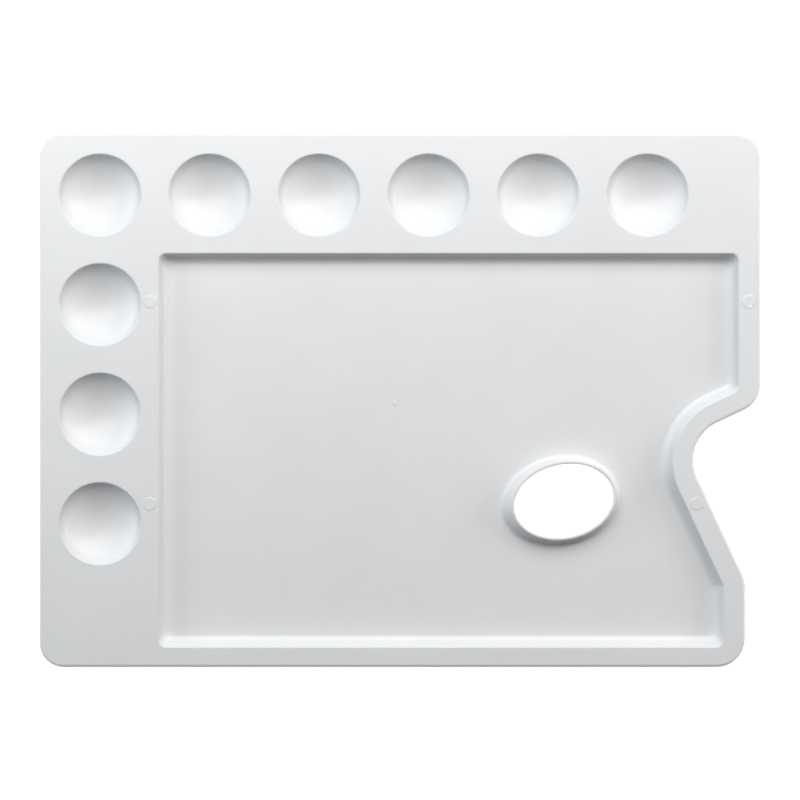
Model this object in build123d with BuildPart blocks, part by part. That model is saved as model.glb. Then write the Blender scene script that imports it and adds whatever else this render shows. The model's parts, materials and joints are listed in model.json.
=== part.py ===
from build123d import *
from math import cos, radians, sin, tan
import os

# Rectangular mixing palette: one thin moulding with paint wells, a mixing tray and a thumb hole.
# Frame: +Z up, +X towards the edge with the brush notch, +Y towards the long row of wells.
# The origin is under the middle of the plate, on the surface that the palette rests on.

os.makedirs("parts", exist_ok=True)

# Plate, in millimetres and degrees
length = 340.0
width = 252.0
wall = 1.6
side_draft = 2.0
corner_radius = 12.0
notch_corner_radius = 14.0
outer_edge_radius = 1.8
lip_radius = 0.8

# Round paint wells: a row along the far edge and a column down the left edge
well_mouth_radius = 19.2
well_depth = 9.0
well_draft = 18.0
bowl_rise = 5.6
bowl_corner_radius = 7.0
well_pitch = 51.4
well_side_margin = 29.2
well_far_margin = 29.75
row_wells = 6
column_wells = 4
foot_clearance = 0.4

# Mixing tray
tray_depth = 6.0
tray_draft = 18.0
tray_corner_radius = 4.1
tray_notch_radius = 31.0
tray_floor_radius = 4.0
tray_to_wells = 8.3
side_border = 11.0
near_border = 10.15
upper_flank_border = 10.0
lower_flank_border = 11.25

# Brush notch in the right edge: two straight flanks at right angles, with a round root
notch_shoulder_y = -1.3
notch_angle = 25.0
upper_flank = 41.6
lower_flank = 72.0
notch_root_radius = 18.8
upper_shoulder_radius = 14.0
lower_shoulder_radius = 16.0

# Thumb hole and the collar round it
thumb_long_radius = 23.15
thumb_short_radius = 16.75
thumb_turn = 12.7
thumb_from_notch = (-55.3, -28.2)
rim_width = 1.6
rim_rise = 1.0
collar_long_flare = 2.6
collar_short_flare = 1.4
collar_lean = (-1.55, -1.0)
collar_turn = 10.3
rim_edge_radius = 0.6
collar_foot_radius = 2.5

# Marks that the mould leaves
pin_mark_radius = 3.1
pin_mark_rise = 0.15
pin_mark_rows = (46.2, -48.8)
pin_mark_from_edge = 6.2
pin_mark_along_flank = 30.0
gate_mark_radius = 0.9
gate_mark_rise = 0.2
gate_mark_place = (-2.5, -1.6)

# Levels
plate_top = well_depth + wall + foot_clearance
tray_floor = plate_top - tray_depth
rim_top = plate_top + rim_rise

# Round bottom of a well: the sphere that meets the well's sloping side bowl_rise above the well's floor
bowl_edge = well_mouth_radius - (well_depth - bowl_rise) * tan(radians(well_draft))
bowl_radius = (bowl_edge**2 + bowl_rise**2) / (2 * bowl_rise)

# Notch corners, from its upper shoulder to its lower one, and the two directions along its flanks
in_along_upper = Vector(-cos(radians(notch_angle)), -sin(radians(notch_angle)))
out_along_lower = Vector(sin(radians(notch_angle)), -cos(radians(notch_angle)))
upper_shoulder = Vector(length / 2, notch_shoulder_y)
notch_root = upper_shoulder + in_along_upper * upper_flank
lower_shoulder = notch_root + out_along_lower * lower_flank

# Well centres
first_well = Vector(-length / 2 + well_side_margin, width / 2 - well_far_margin)
well_row = [first_well + Vector(i * well_pitch, 0) for i in range(row_wells)]
well_column = [first_well - Vector(0, i * well_pitch) for i in range(1, column_wells)]
well_centres = well_row + well_column

# Ejector pins: two between the wells and the tray, one by the right edge, one beside the notch
between_wells_and_tray = first_well.X + well_mouth_radius + tray_to_wells / 2
pin_places = [
    (between_wells_and_tray, pin_mark_rows[0]),
    (between_wells_and_tray, pin_mark_rows[1]),
    (length / 2 - pin_mark_from_edge, pin_mark_rows[0]),
    notch_root + out_along_lower * pin_mark_along_flank + in_along_upper * pin_mark_from_edge,
]

# Thumb hole centre
thumb_centre = notch_root + Vector(*thumb_from_notch)
collar_centre = thumb_centre + Vector(*collar_lean)


def plate_outline(inset):
    """The plate's outline, moved inwards by inset."""
    corners = [
        (-length / 2, -width / 2),
        (lower_shoulder.X, -width / 2),
        lower_shoulder,
        notch_root,
        upper_shoulder,
        (length / 2, width / 2),
        (-length / 2, width / 2),
    ]
    radii = [
        corner_radius,
        notch_corner_radius,
        lower_shoulder_radius,
        notch_root_radius,
        upper_shoulder_radius,
        corner_radius,
        corner_radius,
    ]
    with BuildSketch() as outline:
        with BuildLine():
            FilletPolyline(*corners, radius=radii, close=True)
        make_face()
        if inset:
            offset(amount=-inset)
    return outline.sketch


def well_bowl(skin):
    """The hollow of one well, grown by skin, with its mouth at the origin's level."""
    mouth = well_mouth_radius + skin / cos(radians(well_draft))
    reach = well_depth + skin
    with BuildPart() as bowl:
        with BuildSketch(Plane.XZ) as profile:
            with Locations((0, bowl_radius - well_depth)):
                Circle(bowl_radius + skin)
            Polygon(
                (0, 0),
                (mouth, 0),
                (mouth - reach * tan(radians(well_draft)), -reach),
                (0, -reach),
                align=None,
                mode=Mode.INTERSECT,
            )
            bowl_foot = profile.vertices().sort_by(Axis.X)[-2]
            fillet(bowl_foot, radius=bowl_corner_radius + skin)
        revolve(axis=Axis.Z)
    return bowl.part


def tray_block(skin):
    """The hollow of the mixing tray, grown by skin, with its mouth at the plate's top."""
    grow = skin / cos(radians(tray_draft))
    from_upper_flank = out_along_lower * -(upper_flank_border - grow)
    from_lower_flank = in_along_upper * (lower_flank_border - grow)
    left = first_well.X + well_mouth_radius + tray_to_wells - grow
    far = first_well.Y - well_mouth_radius - tray_to_wells + grow
    near = -width / 2 + near_border - grow
    right = length / 2 - side_border + grow
    right_of_notch = lower_shoulder.X - side_border + grow
    root = notch_root + from_upper_flank + from_lower_flank
    above_notch = root - in_along_upper * ((right - root.X) / cos(radians(notch_angle)))
    below_notch = root + out_along_lower * ((right_of_notch - root.X) / sin(radians(notch_angle)))
    with BuildPart() as block:
        with BuildSketch(Plane.XY.offset(plate_top)):
            with BuildLine():
                FilletPolyline(
                    (left, near),
                    (right_of_notch, near),
                    below_notch,
                    root,
                    above_notch,
                    (right, far),
                    (left, far),
                    radius=[0, 0, 0, tray_notch_radius - grow, 0, 0, 0],
                    close=True,
                )
            make_face()
        extrude(amount=-(tray_depth + skin), taper=tray_draft)
        # The two side edges nearest the notch's root end its arc, and the others are corners
        side_edges = block.edges().group_by(Axis.Z)[1]
        corner_edges = side_edges.sort_by_distance((root.X, root.Y, plate_top))[2:]
        fillet(corner_edges, radius=tray_corner_radius + skin)
        fillet(block.edges().group_by(Axis.Z)[0], radius=tray_floor_radius + skin)
    return block.part


def rim_oval(grow):
    """The thumb hole's oval at the collar's rim, grown by grow all round."""
    with BuildSketch() as oval:
        with Locations((thumb_centre.X, thumb_centre.Y)):
            Ellipse(thumb_long_radius + grow, thumb_short_radius + grow, rotation=thumb_turn)
    return oval.sketch


def foot_oval(inset):
    """The collar's outer oval at the tray's floor, moved inwards by inset."""
    long_radius = thumb_long_radius + rim_width + collar_long_flare - inset
    short_radius = thumb_short_radius + rim_width + collar_short_flare - inset
    with BuildSketch() as oval:
        with Locations((collar_centre.X, collar_centre.Y)):
            Ellipse(long_radius, short_radius, rotation=collar_turn)
    return oval.sketch


with BuildPart() as palette:
    # Plate with a skirt all round, open underneath
    with BuildSketch():
        add(plate_outline(0))
    extrude(amount=plate_top, taper=side_draft)
    with BuildSketch():
        add(plate_outline(wall))
    extrude(amount=plate_top - wall, taper=side_draft, mode=Mode.SUBTRACT)

    # Bodies of the wells and of the tray, and then the hollows in them
    well_places = [(centre.X, centre.Y, plate_top) for centre in well_centres]
    with Locations(*well_places):
        add(well_bowl(wall))
    add(tray_block(wall))
    with Locations(*well_places):
        add(well_bowl(0), mode=Mode.SUBTRACT)
    add(tray_block(0), mode=Mode.SUBTRACT)

    # Rounded edges on the plate's top
    top_face = palette.faces().filter_by(Plane.XY).sort_by(Axis.Z)[-1]
    fillet(top_face.outer_wire().edges(), radius=outer_edge_radius)
    top_face = palette.faces().filter_by(Plane.XY).sort_by(Axis.Z)[-1]
    fillet(top_face.inner_wires().edges(), radius=lip_radius)

    # Collar round the thumb hole
    with BuildSketch(Plane.XY.offset(tray_floor)):
        add(foot_oval(0))
    with BuildSketch(Plane.XY.offset(rim_top)):
        add(rim_oval(rim_width))
    loft()
    with BuildSketch(Plane.XY.offset(tray_floor - wall)):
        add(foot_oval(wall))
    with BuildSketch(Plane.XY.offset(rim_top)):
        add(rim_oval(0))
    loft(mode=Mode.SUBTRACT)

    # Rounded rim and foot of the collar
    rim_face = palette.faces().filter_by(Plane.XY).sort_by(Axis.Z)[-1]
    fillet(rim_face.edges(), radius=rim_edge_radius)
    floor_face = palette.faces().filter_by(Plane.XY).filter_by_position(Axis.Z, tray_floor, tray_floor)
    collar_foot = floor_face.sort_by(SortBy.AREA)[-1].inner_wires().edges()
    fillet(collar_foot, radius=collar_foot_radius)

    # Round marks of four ejector pins, and the mark of the moulding gate
    with BuildSketch(Plane.XY.offset(plate_top - wall / 2)):
        with Locations(*pin_places):
            Circle(pin_mark_radius)
    extrude(amount=wall / 2 + pin_mark_rise)
    with BuildSketch(Plane.XY.offset(tray_floor - wall / 2)):
        with Locations(gate_mark_place):
            Circle(gate_mark_radius)
    extrude(amount=wall / 2 + gate_mark_rise)

palette.part.label = "palette"
export_step(palette.part, "parts/palette.step")
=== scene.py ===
import bmesh
import bpy
import json
import numpy as np
from math import cos, pi, radians, sin, sqrt, tan
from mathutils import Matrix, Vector
from mathutils.geometry import area_tri, delaunay_2d_cdt
from mathutils.kdtree import KDTree


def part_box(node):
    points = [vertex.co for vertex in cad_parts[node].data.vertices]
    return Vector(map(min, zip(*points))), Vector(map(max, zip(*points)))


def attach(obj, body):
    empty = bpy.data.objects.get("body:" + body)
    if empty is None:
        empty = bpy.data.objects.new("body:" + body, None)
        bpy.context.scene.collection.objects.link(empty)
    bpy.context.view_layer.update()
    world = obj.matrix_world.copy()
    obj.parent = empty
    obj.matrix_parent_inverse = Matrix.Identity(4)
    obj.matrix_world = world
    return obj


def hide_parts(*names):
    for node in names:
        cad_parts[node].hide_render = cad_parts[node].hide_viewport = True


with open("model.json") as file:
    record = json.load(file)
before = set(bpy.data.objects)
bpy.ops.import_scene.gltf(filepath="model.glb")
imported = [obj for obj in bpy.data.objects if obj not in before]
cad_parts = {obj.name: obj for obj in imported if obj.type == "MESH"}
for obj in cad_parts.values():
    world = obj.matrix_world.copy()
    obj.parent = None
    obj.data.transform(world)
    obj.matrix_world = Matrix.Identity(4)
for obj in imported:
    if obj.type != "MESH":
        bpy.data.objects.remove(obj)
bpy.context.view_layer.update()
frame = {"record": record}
scene = bpy.context.scene
lowest_corner, highest_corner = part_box("palette")

# ---------------------------------------------------------------- sizes, in millimetres and degrees
MM = 0.001

# Plate: its size is the CAD's, and the radii are those of its edges
LENGTH = (highest_corner.x - lowest_corner.x) / MM
WIDTH = (highest_corner.y - lowest_corner.y) / MM
RIM_TOP = highest_corner.z / MM
RIM_RISE = 1.0
WALL = 1.6
SIDE_DRAFT = 2.0
PLATE_TOP = RIM_TOP - RIM_RISE
CEILING = PLATE_TOP - WALL
OUTER_EDGE = 1.8
LIP = 0.8
SKIRT_EDGE = 0.3
INSIDE_CORNER = 0.8

# Wells
WELL_MOUTH = 19.2
WELL_DEPTH = 9.0
WELL_DRAFT = 18.0
BOWL_RISE = 5.6
BOWL_CORNER = 7.0

# Mixing tray
TRAY_DEPTH = 6.0
TRAY_FLOOR = PLATE_TOP - TRAY_DEPTH
TRAY_UNDER = TRAY_FLOOR - WALL
TRAY_DRAFT = 18.0
TRAY_COVE = 4.0
TRAY_NOTCH = 31.0
TRAY_CORNER = 3.7
TRAY_CORNER_TAPER = 0.22
TRAY_UNDER_CORNER = 5.6
TRAY_TO_WELLS = 8.3
SIDE_BORDER = 11.0
NEAR_BORDER = 10.15
UPPER_FLANK_BORDER = 10.0
LOWER_FLANK_BORDER = 11.25

# Brush notch in the right edge
NOTCH_SHOULDER_Y = -1.3
NOTCH_ANGLE = 25.0
UPPER_FLANK = 41.6
LOWER_FLANK = 72.0

# Thumb hole and the collar round it
THUMB_FROM_NOTCH = Vector((-55.3, -28.2))
THUMB_LONG = 23.15
THUMB_SHORT = 16.75
THUMB_TURN = 12.7
RIM_WIDTH = 1.6
COLLAR_LEAN = Vector((-1.55, -1.0))
COLLAR_FOOT_LONG = 27.35
COLLAR_FOOT_SHORT = 19.75
COLLAR_TURN = 10.3
RIM_EDGE = 0.6
COLLAR_FOOT = 2.5
UNDER_EDGE = 0.4

# Ejector pin marks, a small burr on one of them, and the mark of the gate
PIN = 3.1
PIN_RISE = 0.15
PIN_ROWS = (46.2, -48.8)
PIN_FROM_EDGE = 6.2
PIN_ALONG_FLANK = 30.0
BURR_RISE = 0.45
BURR_ANGLE = 278.0
BURR_HALF_LENGTH = 0.9
BURR_HALF_WIDTH = 0.45
GATE = Vector((-2.5, -1.6))

# How many pieces round shapes are divided into, and how far flat profiles run on past their corners
CORNER_STEPS = 14
WELL_STEPS = 96
BOWL_STEPS = 64
OVAL_STEPS = 144
PIN_STEPS = 72
STUB_STEPS = 32
RUN_ON = 9


def turned(angle):
    """The direction at an angle from the X axis."""
    return Vector((cos(radians(angle)), sin(radians(angle))))


# Notch corners, and the directions along its two flanks
in_along_upper = -turned(NOTCH_ANGLE)
out_along_lower = turned(NOTCH_ANGLE - 90)
upper_shoulder = Vector((LENGTH / 2, NOTCH_SHOULDER_Y))
notch_root = upper_shoulder + in_along_upper * UPPER_FLANK
lower_shoulder = notch_root + out_along_lower * LOWER_FLANK

# Plate outline, anticlockwise, with the radius of each corner; the notch's root turns the other way
PLATE = [
    Vector((-LENGTH / 2, -WIDTH / 2)),
    Vector((lower_shoulder.x, -WIDTH / 2)),
    lower_shoulder,
    notch_root,
    upper_shoulder,
    Vector((LENGTH / 2, WIDTH / 2)),
    Vector((-LENGTH / 2, WIDTH / 2)),
]
PLATE_RADII = [12.0, 14.0, 16.0, -18.8, 14.0, 12.0, 12.0]

# Wells: their centres are those of the record's openings
wells = []
for opening in frame["record"]["physics"]["openings"]:
    if opening["name"].startswith("well_") and opening["name"].count("_") == 1:
        a, b = opening["box_m"]
        wells.append(Vector(((a[0] + b[0]) / 2 / MM, (a[1] + b[1]) / 2 / MM)))

# Tray outline at the plate's top
tray_left = wells[0].x + WELL_MOUTH + TRAY_TO_WELLS
tray_far = wells[0].y - WELL_MOUTH - TRAY_TO_WELLS
tray_near = -WIDTH / 2 + NEAR_BORDER
tray_right = LENGTH / 2 - SIDE_BORDER
tray_right_low = lower_shoulder.x - SIDE_BORDER
root = notch_root - out_along_lower * UPPER_FLANK_BORDER + in_along_upper * LOWER_FLANK_BORDER
above_notch = root - in_along_upper * ((tray_right - root.x) / cos(radians(NOTCH_ANGLE)))
below_notch = root + out_along_lower * ((tray_right_low - root.x) / sin(radians(NOTCH_ANGLE)))
TRAY = [
    Vector((tray_left, tray_near)),
    Vector((tray_right_low, tray_near)),
    below_notch,
    root,
    above_notch,
    Vector((tray_right, tray_far)),
    Vector((tray_left, tray_far)),
]

# Centres of the thumb hole and of its collar's foot
thumb = notch_root + THUMB_FROM_NOTCH
collar = thumb + COLLAR_LEAN

# ---------------------------------------------------------------- mesh helpers
points = []
faces = []
flat_normals = {}


def corner_arc(before, here, after, radius, steps):
    """The points that round off the corner at here."""
    a = (before - here).normalized()
    b = (after - here).normalized()
    half = a.angle(b) / 2
    sweep = pi - 2 * half
    centre = here + (a + b).normalized() * (radius / sin(half))
    start = here + a * (radius / tan(half)) - centre
    end = here + b * (radius / tan(half)) - centre
    arc = []
    for k in range(steps + 1):
        t = k / steps
        arc.append(centre + (start * sin((1 - t) * sweep) + end * sin(t * sweep)) / sin(sweep))
    return arc


def rounded_path(corners, steps):
    """An open path with each (x, y, radius) corner rounded in so many steps, without its end points."""
    path = []
    for i in range(1, len(corners) - 1):
        before, here, after = (Vector(c[:2]) for c in corners[i - 1:i + 2])
        path += corner_arc(before, here, after, corners[i][2], steps[i - 1])
    return path


def inset_corners(corners, inset):
    """The corners of an anticlockwise polygon, moved inwards by inset."""
    moved = []
    for i, here in enumerate(corners):
        before = (here - corners[i - 1]).normalized()
        after = (corners[(i + 1) % len(corners)] - here).normalized()
        n1, n2 = before.orthogonal(), after.orthogonal()
        moved.append(here + (n1 + n2) * (inset / (1 + n1.dot(n2))))
    return moved


def rounded_loop(corners, radii):
    """A closed loop of points with the corners rounded off."""
    count = len(corners)
    arcs = [
        corner_arc(corners[i - 1], corners[i], corners[(i + 1) % count], radii[i], CORNER_STEPS)
        for i in range(count)
    ]
    loop = []
    for i, arc in enumerate(arcs):
        loop += arc
        steps = edge_steps(i)
        following = arcs[(i + 1) % count][0]
        loop += [arc[-1].lerp(following, k / steps) for k in range(1, steps)]
    return loop


def edge_steps(i, spacing=6.0, corners_share=15):
    """How many pieces the straight edge after corner i has, the same at every height."""
    here, following = PLATE[i], PLATE[(i + 1) % len(PLATE)]
    return max(1, round(((following - here).length - corners_share) / spacing))


def plate_loop(inset):
    """The plate's outline, moved inwards by inset."""
    radii = [r - inset if r > 0 else -r + inset for r in PLATE_RADII]
    return rounded_loop(inset_corners(PLATE, inset), radii)


def tray_loop(inset, corner):
    """The tray's outline, moved inwards by inset, with its corners rounded to corner."""
    radii = [corner] * 3 + [TRAY_NOTCH + inset] + [corner] * 3
    return rounded_loop(inset_corners(TRAY, inset), radii)


def add_loop(loop, z):
    """Adds a loop of points at height z, or at a list of heights, and gives their numbers."""
    first = len(points)
    for k, p in enumerate(loop):
        points.append(Vector((p[0], p[1], z[k] if isinstance(z, list) else z)))
    return list(range(first, first + len(loop)))


def add_strip(a, b):
    """Quads between two loops."""
    count = len(a)
    for i in range(count):
        j = (i + 1) % count
        faces.append((a[i], a[j], b[j], b[i]))


def add_strips(loops):
    """Quads between each loop and the next."""
    for a, b in zip(loops, loops[1:]):
        add_strip(a, b)


def add_flat(outer, holes, up, spacing=9.0, margin=4.0):
    """Triangles over a flat area, from its outer loop to the loops of its holes."""
    loops = [outer] + holes
    rim = [i for loop in loops for i in loop]
    z = points[outer[0]].z
    edges = []
    first = 0
    for loop in loops:
        count = len(loop)
        edges += [(first + k, first + (k + 1) % count) for k in range(count)]
        first += count
    rim_xy = np.array([points[i].xy[:] for i in rim])
    start = rim_xy[[a for a, b in edges]]
    end = rim_xy[[b for a, b in edges]]

    def inside(xy):
        x, y = xy[:, :1], xy[:, 1:]
        crosses = (start[None, :, 1] > y) != (end[None, :, 1] > y)
        run, rise = (end - start).T
        with np.errstate(divide="ignore", invalid="ignore"):
            at = start[:, 0] + (y - start[:, 1]) * run / rise
        return (crosses & (x < at)).sum(1) % 2 == 1

    tree = KDTree(len(rim))
    for k, xy in enumerate(rim_xy):
        tree.insert((*xy, 0), k)
    tree.balance()
    lowest, highest = rim_xy.min(0), rim_xy.max(0)
    row = spacing * 0.866
    across = int((highest[0] - lowest[0]) / spacing)
    upward = int((highest[1] - lowest[1]) / row)
    grid = []
    for j in range(upward + 1):
        for i in range(across + 2):
            grid.append((lowest[0] + (i - 0.5 * (j % 2)) * spacing, lowest[1] + j * row))
    grid = np.array(grid)
    grid = [xy for xy in grid[inside(grid)] if tree.find((*xy, 0))[2] > margin]
    flat = [Vector(xy) for xy in rim_xy] + [Vector(xy) for xy in grid]
    made, links, triangles, origins, link_origins, _ = delaunay_2d_cdt(flat, edges, [], 0, 1e-6)
    number = []
    for xy, origin in zip(made, origins):
        if origin and origin[0] < len(rim):
            number.append(rim[origin[0]])
        else:
            number.append(len(points))
            points.append(Vector((xy[0], xy[1], z)))
    # Spread from one triangle well inside to its neighbours, up to the loops
    walls = {tuple(sorted(link)) for link, origin in zip(links, link_origins) if origin}
    beside = {}
    for t, triangle in enumerate(triangles):
        for link in zip(triangle, (triangle[1], triangle[2], triangle[0])):
            link = tuple(sorted(link))
            if link not in walls:
                beside.setdefault(link, []).append(t)
    neighbours = {}
    for pair in beside.values():
        for t in pair:
            neighbours.setdefault(t, []).extend(pair)
    centres = np.array([sum((made[i] for i in t), Vector((0, 0)))[:] for t in triangles]) / 3
    sizes = [area_tri(*(made[i] for i in t)) for t in triangles]
    first = max((t for t, keep in enumerate(inside(centres)) if keep), key=lambda t: sizes[t])
    kept, waiting = {first}, [first]
    while waiting:
        for t in neighbours.get(waiting.pop(), []):
            if t not in kept:
                kept.add(t)
                waiting.append(t)
    for t in sorted(kept):
        faces.append(tuple(number[i] for i in triangles[t]))
        for i in triangles[t]:
            flat_normals[number[i]] = Vector((0, 0, 1 if up else -1))


def circle(centre, radius, count):
    angles = [2 * pi * k / count for k in range(count)]
    return [centre + Vector((cos(a), sin(a))) * radius for a in angles]


def add_turned(centre, profile, count, burr=None):
    """Loops of a turned shape from its (radius, z) profile, closed at the axis if it ends there.

    A burr gives the height that is added at each angle and radius.
    """
    loops = []
    for radius, z in profile:
        if radius < 1e-6:
            points.append(Vector((centre.x, centre.y, z)))
            tip = len(points) - 1
            last = loops[-1]
            faces.extend((last[i], last[(i + 1) % count], tip) for i in range(count))
            break
        heights = [z + burr(2 * pi * k / count, radius) for k in range(count)] if burr else z
        loops.append(add_loop(circle(centre, radius, count), heights))
        if len(loops) > 1:
            add_strip(loops[-2], loops[-1])
    return loops


# ---------------------------------------------------------------- profiles
def arc(centre, start, end, steps):
    """Points on a circle about centre, from the direction of start to that of end."""
    radius = (start - centre).length
    a, b = (start - centre).normalized(), (end - centre).normalized()
    sweep = a.angle(b)
    turns = [sweep * k / steps for k in range(steps + 1)]
    return [centre + (a * sin(sweep - t) + b * sin(t)) * (radius / sin(sweep)) for t in turns]


def well_profile(skin, entry_steps, corner_steps, bowl_steps):
    """The (radius, z) profile of a well's hollow, or of its outside when skin is the wall."""
    slope = -Vector((sin(radians(WELL_DRAFT)), cos(radians(WELL_DRAFT))))
    inwards = Vector((slope.y, -slope.x))
    mouth = Vector((WELL_MOUTH + skin / cos(radians(WELL_DRAFT)), PLATE_TOP))
    edge = WELL_MOUTH - (WELL_DEPTH - BOWL_RISE) * tan(radians(WELL_DRAFT))
    bowl = (edge**2 + BOWL_RISE**2) / (2 * BOWL_RISE)
    middle = Vector((0, PLATE_TOP - WELL_DEPTH + bowl))
    corner = BOWL_CORNER + skin
    reach = mouth + inwards * corner - middle
    inside = bowl + skin - corner
    along = -reach.dot(slope) + sqrt(reach.dot(slope) ** 2 - reach.dot(reach) + inside**2)
    centre = middle + reach + slope * along
    first = centre - inwards * corner
    last = middle + (centre - middle).normalized() * (bowl + skin)
    if skin:
        # Rounded corner between the ceiling and the bowl's round side
        z = CEILING - INSIDE_CORNER
        spread = sqrt((corner + INSIDE_CORNER) ** 2 - (z - centre.y) ** 2)
        nook = Vector((centre.x + spread, z))
        first = centre + (nook - centre).normalized() * corner
        profile = arc(nook, nook + Vector((0, INSIDE_CORNER)), first, entry_steps)[:-1]
    else:
        profile = corner_arc(mouth + Vector((5, 0)), mouth, mouth + slope, LIP, entry_steps)
        profile.append(profile[-1].lerp(first, 0.5))
    profile += arc(centre, first, last, corner_steps)
    profile += arc(middle, last, middle - Vector((0, 1)), bowl_steps)[1:]
    profile[-1].x = 0
    return profile


# Skirt: from the plate's top over the outer edge, down, round the bottom edge and up inside
side = tan(radians(SIDE_DRAFT))
skirt_path = rounded_path(
    [
        (RUN_ON, PLATE_TOP),
        (PLATE_TOP * side, PLATE_TOP, OUTER_EDGE),
        (0, 0, SKIRT_EDGE),
        (WALL, 0, SKIRT_EDGE),
        (WALL + CEILING * side, CEILING, INSIDE_CORNER),
        (RUN_ON, CEILING),
    ],
    (12, 4, 4, 5),
)
skirt = [add_loop(plate_loop(p.x), p.y) for p in skirt_path]
add_strips(skirt)

# Tray: lip, wall and cove, and the outside of the same
slant = tan(radians(TRAY_DRAFT))
tray_path = rounded_path(
    [
        (-RUN_ON, PLATE_TOP),
        (0, PLATE_TOP, LIP),
        (TRAY_DEPTH * slant, TRAY_FLOOR, TRAY_COVE),
        (RUN_ON, TRAY_FLOOR),
    ],
    (8, 12),
)
tray = [add_loop(tray_loop(p.x, TRAY_CORNER - TRAY_CORNER_TAPER * p.x), p.y) for p in tray_path]
add_strips(tray)
grow = WALL / cos(radians(TRAY_DRAFT))
under_path = rounded_path(
    [
        (-RUN_ON, CEILING),
        (-grow + WALL * slant, CEILING, INSIDE_CORNER),
        (-grow + (PLATE_TOP - TRAY_UNDER) * slant, TRAY_UNDER, TRAY_COVE + WALL),
        (RUN_ON, TRAY_UNDER),
    ],
    (5, 9),
)
tray_under = [add_loop(tray_loop(p.x, TRAY_UNDER_CORNER), p.y) for p in under_path]
add_strips(tray_under)

# Wells and the outsides of their bowls
bowl_in = well_profile(0, 8, 10, 10)
bowl_out = well_profile(WALL, 5, 8, 7)
well_rims = [add_turned(centre, bowl_in, WELL_STEPS)[0] for centre in wells]
bowl_rims = [add_turned(centre, bowl_out, BOWL_STEPS)[0] for centre in wells]

# Thumb hole: an oval collar that leans and flares towards its foot
def oval(centre, long_radius, short_radius, turn, t):
    """The point of an oval at the parameter t."""
    across = turned(turn)
    return centre + across * (long_radius * cos(t)) + across.orthogonal() * (short_radius * sin(t))


def oval_points(t):
    """The collar's outside at its rim and foot, and its inside at its rim and under the tray."""
    return (
        oval(thumb, THUMB_LONG + RIM_WIDTH, THUMB_SHORT + RIM_WIDTH, THUMB_TURN, t),
        oval(collar, COLLAR_FOOT_LONG, COLLAR_FOOT_SHORT, COLLAR_TURN, t),
        oval(thumb, THUMB_LONG, THUMB_SHORT, THUMB_TURN, t),
        oval(collar, COLLAR_FOOT_LONG - WALL, COLLAR_FOOT_SHORT - WALL, COLLAR_TURN, t),
    )


SMALL_STEP = 0.001
COLLAR_STEPS = (10, 6, 6, 4)
OUTSIDE_POINTS = COLLAR_STEPS[0] + COLLAR_STEPS[1] + 2
sections = []
for k in range(OVAL_STEPS):
    t = 2 * pi * k / OVAL_STEPS
    rim, foot, inner, under = oval_points(t)
    along = (oval_points(t + SMALL_STEP)[0] - rim).normalized()
    out = -along.orthogonal()
    path = rounded_path(
        [
            ((foot - rim).dot(out) + RUN_ON, TRAY_FLOOR),
            ((foot - rim).dot(out), TRAY_FLOOR, COLLAR_FOOT),
            (0, RIM_TOP, RIM_EDGE),
            ((inner - rim).dot(out), RIM_TOP, RIM_EDGE),
            ((under - rim).dot(out), TRAY_UNDER, UNDER_EDGE),
            ((under - rim).dot(out) + RUN_ON, TRAY_UNDER),
        ],
        COLLAR_STEPS,
    )
    foot_along = (foot - rim).dot(along)
    inner_along = (inner - rim).dot(along)
    under_along = (under - rim).dot(along)
    section = []
    for n, p in enumerate(path):
        drop = RIM_TOP - p.y
        if n < OUTSIDE_POINTS:
            shift = foot_along * drop / (RIM_TOP - TRAY_FLOOR)
        else:
            shift = inner_along + (under_along - inner_along) * drop / (RIM_TOP - TRAY_UNDER)
        section.append((rim + out * p.x + along * shift, p.y))
    sections.append(section)
rings = [add_loop([xy for xy, z in ring], [z for xy, z in ring]) for ring in zip(*sections)]
add_strips(rings)

# Ejector pin marks: low round pads with soft edges, one of them with a small burr on its near side
pin_x = wells[0].x + WELL_MOUTH + TRAY_TO_WELLS / 2
right_pin = Vector((LENGTH / 2 - PIN_FROM_EDGE, PIN_ROWS[0]))
notch_pin = notch_root + out_along_lower * PIN_ALONG_FLANK + in_along_upper * PIN_FROM_EDGE
pins = [Vector((pin_x, PIN_ROWS[0])), Vector((pin_x, PIN_ROWS[1])), right_pin, notch_pin]
pad = [
    (PIN + 0.18, PLATE_TOP),
    (PIN + 0.08, PLATE_TOP + 0.015),
    (PIN, PLATE_TOP + 0.075),
    (PIN - 0.08, PLATE_TOP + 0.13),
    (PIN - 0.2, PLATE_TOP + PIN_RISE),
    (PIN - 0.8, PLATE_TOP + PIN_RISE),
    (PIN - 1.8, PLATE_TOP + PIN_RISE),
    (0, PLATE_TOP + PIN_RISE),
]


def burr(angle, radius):
    """Height that the burr adds at a place on the pad."""
    along = (angle - radians(BURR_ANGLE)) * PIN / BURR_HALF_LENGTH
    across = (radius - (PIN - 0.1)) / BURR_HALF_WIDTH
    return BURR_RISE * max(0, 1 - along**2) * max(0, 1 - across**2)


pin_rims = [
    add_turned(centre, pad, PIN_STEPS, burr if centre is right_pin else None)[0] for centre in pins
]

# Gate mark, and the faint ring that the gate's insert leaves round it
ring_profile = [(8.6, 0), (8.35, -0.02), (8.1, -0.045), (7.85, -0.02), (7.6, 0)]
ring = add_turned(GATE, [(r, TRAY_FLOOR + h) for r, h in ring_profile], WELL_STEPS)
stub_profile = [
    (1.15, 0), (0.98, 0.03), (0.9, 0.12), (0.82, 0.19), (0.65, 0.2), (0.35, 0.13), (0, 0.11)
]
stub = add_turned(GATE, [(r, TRAY_FLOOR + h) for r, h in stub_profile], STUB_STEPS)

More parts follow.
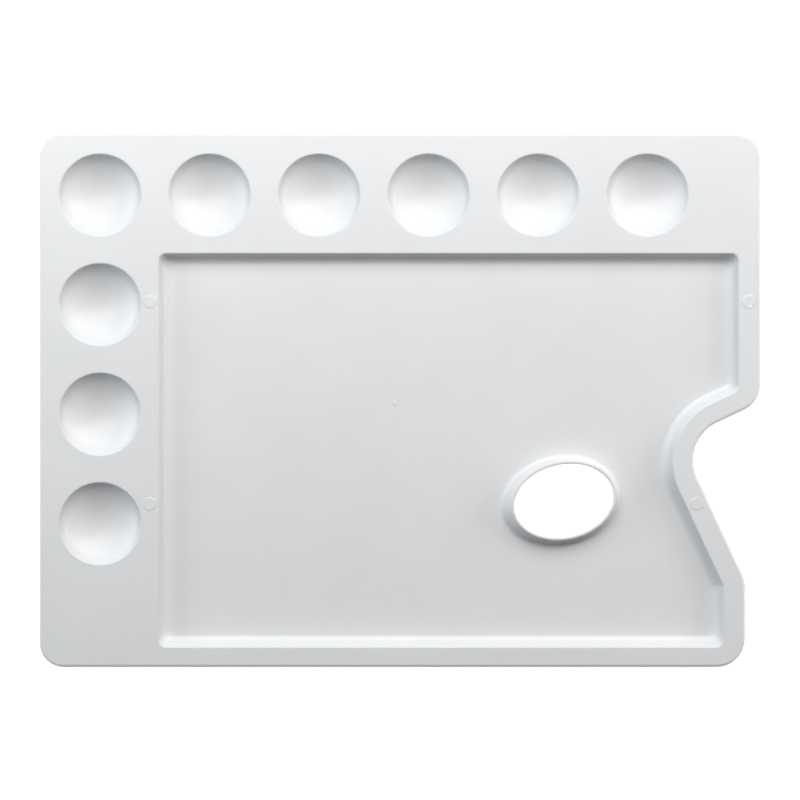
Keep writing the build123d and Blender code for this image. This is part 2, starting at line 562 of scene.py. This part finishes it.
# Flat areas
add_flat(skirt[0], [tray[0]] + well_rims + pin_rims, True)
add_flat(skirt[-1], [tray_under[0]] + bowl_rims, False)
add_flat(tray[-1], [rings[0], ring[0]], True)
add_flat(ring[-1], [stub[0]], True, spacing=2.5, margin=0.8)
add_flat(tray_under[-1], [rings[-1]], False)

# ---------------------------------------------------------------- the moulding
data = bpy.data.meshes.new("palette_moulding")
data.from_pydata([p * MM for p in points], [], faces)
shape = bmesh.new()
shape.from_mesh(data)
bmesh.ops.recalc_face_normals(shape, faces=shape.faces)
shape.to_mesh(data)
shape.free()
for polygon in data.polygons:
    polygon.use_smooth = True
# Flat areas keep upright normals, so that they shade flat up to their edges
normals = [flat_normals.get(v.index, v.normal.copy()) for v in data.vertices]
data.normals_split_custom_set_from_vertices(normals)
moulding = bpy.data.objects.new("palette_moulding", data)
scene.collection.objects.link(moulding)
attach(moulding, "root")
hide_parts("palette")

# ---------------------------------------------------------------- material
PLASTIC_IOR = 1.5
DULL_WHITE = (0.784, 0.791, 0.800, 1)
BRIGHT_WHITE = (0.812, 0.817, 0.822, 1)
CLOUD_SHARE = 0.65
SPECK_SHARE = 0.35
NOISE_RANGE = (0.3, 0.7)
GLOSSIEST = 0.285
DULLEST = 0.35
WAVE_HEIGHT = 0.12 * MM
GRAIN_HEIGHT = 0.03 * MM

plastic = bpy.data.materials.new("white_plastic")
plastic.use_nodes = True
tree = plastic.node_tree
shader = tree.nodes["Principled BSDF"]
shader.inputs["IOR"].default_value = PLASTIC_IOR
place = tree.nodes.new("ShaderNodeTexCoord").outputs["Object"]


def noise(scale, detail, roughness=0.5):
    """Noise with scale features a metre."""
    node = tree.nodes.new("ShaderNodeTexNoise")
    node.inputs["Scale"].default_value = scale
    node.inputs["Detail"].default_value = detail
    node.inputs["Roughness"].default_value = roughness
    tree.links.new(place, node.inputs["Vector"])
    return node.outputs["Fac"]


def ramp(value, out_low, out_high):
    """The noise's range, stretched to run from out_low to out_high."""
    node = tree.nodes.new("ShaderNodeMapRange")
    node.inputs["From Min"].default_value, node.inputs["From Max"].default_value = NOISE_RANGE
    node.inputs["To Min"].default_value = out_low
    node.inputs["To Max"].default_value = out_high
    tree.links.new(value, node.inputs["Value"])
    return node.outputs["Result"]


def bump(height, distance, strength):
    node = tree.nodes.new("ShaderNodeBump")
    node.inputs["Strength"].default_value = strength
    node.inputs["Distance"].default_value = distance
    tree.links.new(height, node.inputs["Height"])
    return node


# Colour: cool white, clouded a little over a few centimetres and speckled over a few millimetres
blend = tree.nodes.new("ShaderNodeMath")
blend.operation = "ADD"
tree.links.new(ramp(noise(28, 3), 0.0, CLOUD_SHARE), blend.inputs[0])
tree.links.new(ramp(noise(450, 2), 0.0, SPECK_SHARE), blend.inputs[1])
mix = tree.nodes.new("ShaderNodeMix")
mix.data_type = "RGBA"
mix.inputs["A"].default_value = DULL_WHITE
mix.inputs["B"].default_value = BRIGHT_WHITE
tree.links.new(blend.outputs["Value"], mix.inputs["Factor"])
tree.links.new(mix.outputs["Result"], shader.inputs["Base Color"])

# Roughness: semi-gloss, a little duller in soft patches
tree.links.new(ramp(noise(55, 4, 0.6), GLOSSIEST, DULLEST), shader.inputs["Roughness"])

# Surface: faint waves of the cooled sheet, under the fine texture of the mould
waves = bump(noise(45, 2), WAVE_HEIGHT, 1.0)
grain = bump(noise(1500, 3), GRAIN_HEIGHT, 0.5)
tree.links.new(waves.outputs["Normal"], grain.inputs["Normal"])
tree.links.new(grain.outputs["Normal"], shader.inputs["Normal"])
data.materials.append(plastic)

# ---------------------------------------------------------------- camera, light and floor, in metres
CAMERA_DISTANCE = 0.62
SEEN_WIDTH = 0.3754
SENSOR_WIDTH = 36.0
camera_data = bpy.data.cameras.new("camera")
camera_data.sensor_width = SENSOR_WIDTH
camera_data.lens = SENSOR_WIDTH * CAMERA_DISTANCE / SEEN_WIDTH
camera = bpy.data.objects.new("camera", camera_data)
camera.location = (0, 0, PLATE_TOP * MM + CAMERA_DISTANCE)
scene.collection.objects.link(camera)
scene.camera = camera

# Soft lights, all turned to the middle of the palette: place, size, power in watts and colour
KEY_SIZE = (1.4, 0.27)
SIDE_SIZE = (0.9, 0.3)
WHITE = (1, 1, 1)
LIGHTS = {
    "key_low": ((0.10, 0.82, 0.57), KEY_SIZE, 3.1, WHITE),
    "key_middle": ((0.08, 0.64, 0.77), KEY_SIZE, 3.8, WHITE),
    "key_high": ((-0.08, 0.42, 0.91), KEY_SIZE, 5.3, WHITE),
    "left": ((-0.94, 0.14, 0.34), SIDE_SIZE, 3.0, (0.82, 0.92, 1)),
    "right": ((0.94, 0.16, 0.34), SIDE_SIZE, 3.2, (1, 0.99, 0.97)),
}
for name, (where, size, power, colour) in LIGHTS.items():
    light = bpy.data.lights.new(name, "AREA")
    light.shape = "RECTANGLE"
    light.size, light.size_y = size
    light.energy = power
    light.color = colour
    lamp = bpy.data.objects.new(name, light)
    lamp.location = where
    lamp.rotation_euler = (-Vector(where)).to_track_quat("-Z", "Y").to_euler()
    scene.collection.objects.link(lamp)

WORLD_GLOW = 0.01
world = bpy.data.worlds.new("studio")
scene.world = world
world.use_nodes = True
background = world.node_tree.nodes["Background"]
background.inputs["Color"].default_value = (1, 1, 1, 1)
background.inputs["Strength"].default_value = WORLD_GLOW
scene.view_settings.view_transform = "Standard"

FLOOR_HALF = 6.0
FLOOR_GLOW = 0.85
corners = [(-1, -1), (1, -1), (1, 1), (-1, 1)]
floor_data = bpy.data.meshes.new("floor")
floor_data.from_pydata([(x * FLOOR_HALF, y * FLOOR_HALF, 0) for x, y in corners], [], [(0, 1, 2, 3)])
floor = bpy.data.objects.new("floor", floor_data)
scene.collection.objects.link(floor)
floor_material = bpy.data.materials.new("floor")
floor_material.use_nodes = True
floor_shader = floor_material.node_tree.nodes["Principled BSDF"]
floor_shader.inputs["Base Color"].default_value = (0.95, 0.95, 0.95, 1)
floor_shader.inputs["Roughness"].default_value = 1.0
floor_shader.inputs["Specular IOR Level"].default_value = 0.0
floor_shader.inputs["Emission Color"].default_value = (1, 1, 1, 1)
floor_shader.inputs["Emission Strength"].default_value = FLOOR_GLOW
floor_data.materials.append(floor_material)
